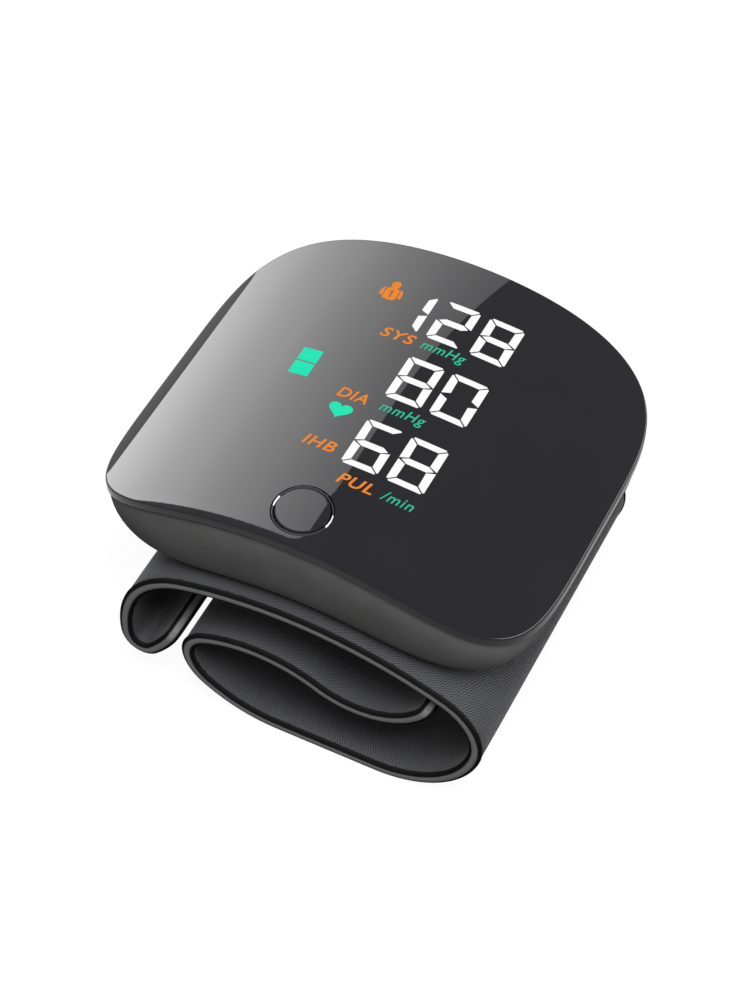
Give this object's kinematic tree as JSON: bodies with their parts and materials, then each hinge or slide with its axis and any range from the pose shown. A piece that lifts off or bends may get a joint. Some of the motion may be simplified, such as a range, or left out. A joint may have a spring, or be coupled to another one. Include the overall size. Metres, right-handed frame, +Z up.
{
  "type": "wrist blood pressure monitor",
  "caption": "Wrist blood pressure monitor: arched gloss-black display case with a round push button, on a rolled fabric cuff that opens to take the wrist.",
  "frame": {"origin": "on the table, under the middle of the case", "axes": "+X across the wrist, +Y along the wrist and away from the button, +Z up through the display"},
  "size_m": [0.08, 0.0688, 0.0539],
  "materials": {
    "gloss_black": "mirror gloss, near black",
    "shell_grey": "fine matte, dark grey",
    "black_plastic": "matte black",
    "dark_chrome": "polished dark chrome",
    "steel": "plain steel",
    "board": "green solder mask",
    "led_housing": "white moulded housing",
    "rubber_grey": "soft silicone",
    "cell_wrap": "blue shrink wrap over a metal can",
    "cuff_fabric": "ribbed charcoal fabric",
    "tape_fabric": "smooth grey-black edge tape",
    "spring_sheet": "clear springy sheet",
    "bladder_film": "grey film",
    "hook_tape": "black hook tape"
  },
  "bodies": {
    "case": {"top_panel": "gloss_black", "panel_frame": "black_plastic", "lower_shell": "shell_grey", "case_screw_1": "steel", "case_screw_2": "steel", "case_screw_3": "steel", "case_screw_4": "steel", "button_ring": "dark_chrome", "tact_switch": "steel", "main_board": "board", "display_board": "board", "led_digits_lower": "led_housing", "led_digits_middle": "led_housing", "led_digits_upper": "led_housing", "board_header": "black_plastic", "controller_chip": "black_plastic", "buzzer": "black_plastic", "pressure_sensor": "led_housing", "usb_socket": "steel", "battery_cell": "cell_wrap", "cell_tab_front": "steel", "cell_tab_back": "steel", "pump_motor": "steel", "pump_head": "black_plastic", "air_manifold": "rubber_grey", "air_valve": "steel", "cuff_tube": "rubber_grey", "sensor_tube": "rubber_grey", "air_nozzle": "black_plastic", "cuff_bracket": "black_plastic", "sleeve_center": "cuff_fabric", "curler_center": "spring_sheet", "bladder_center": "bladder_film", "binding_center_front": "tape_fabric", "binding_center_back": "tape_fabric"},
    "button": {"button_cap": "gloss_black", "switch_plunger": "black_plastic"},
    "cuff_loop": {"sleeve_loop": "cuff_fabric", "curler_loop": "spring_sheet", "bladder_loop": "bladder_film", "binding_loop_front": "tape_fabric", "binding_loop_back": "tape_fabric", "hook_patch": "hook_tape"},
    "cuff_tail": {"sleeve_tail": "cuff_fabric", "curler_tail": "spring_sheet", "binding_tail_front": "tape_fabric", "binding_tail_back": "tape_fabric"}
  },
  "joints": [
    {"name": "button_press", "type": "slide", "parent": "case", "child": "button", "axis": [0, 0, -1], "range_m": [0, 0.0007], "stiffness_N_per_m": 400, "springref_m": -0.0008},
    {"name": "loop_open", "type": "hinge", "parent": "case", "child": "cuff_loop", "pos_m": [0.03559, 0, 0.01884], "axis": [0, -1, 0], "range_deg": [0, 60], "stiffness_Nm_per_rad": 0.06, "springref_deg": -17.19},
    {"name": "tail_lift", "type": "hinge", "parent": "case", "child": "cuff_tail", "pos_m": [-0.0292, 0, 0.02521], "axis": [0, 1, 0], "range_deg": [0, 50], "stiffness_Nm_per_rad": 0.03, "springref_deg": -17.19}
  ]
}
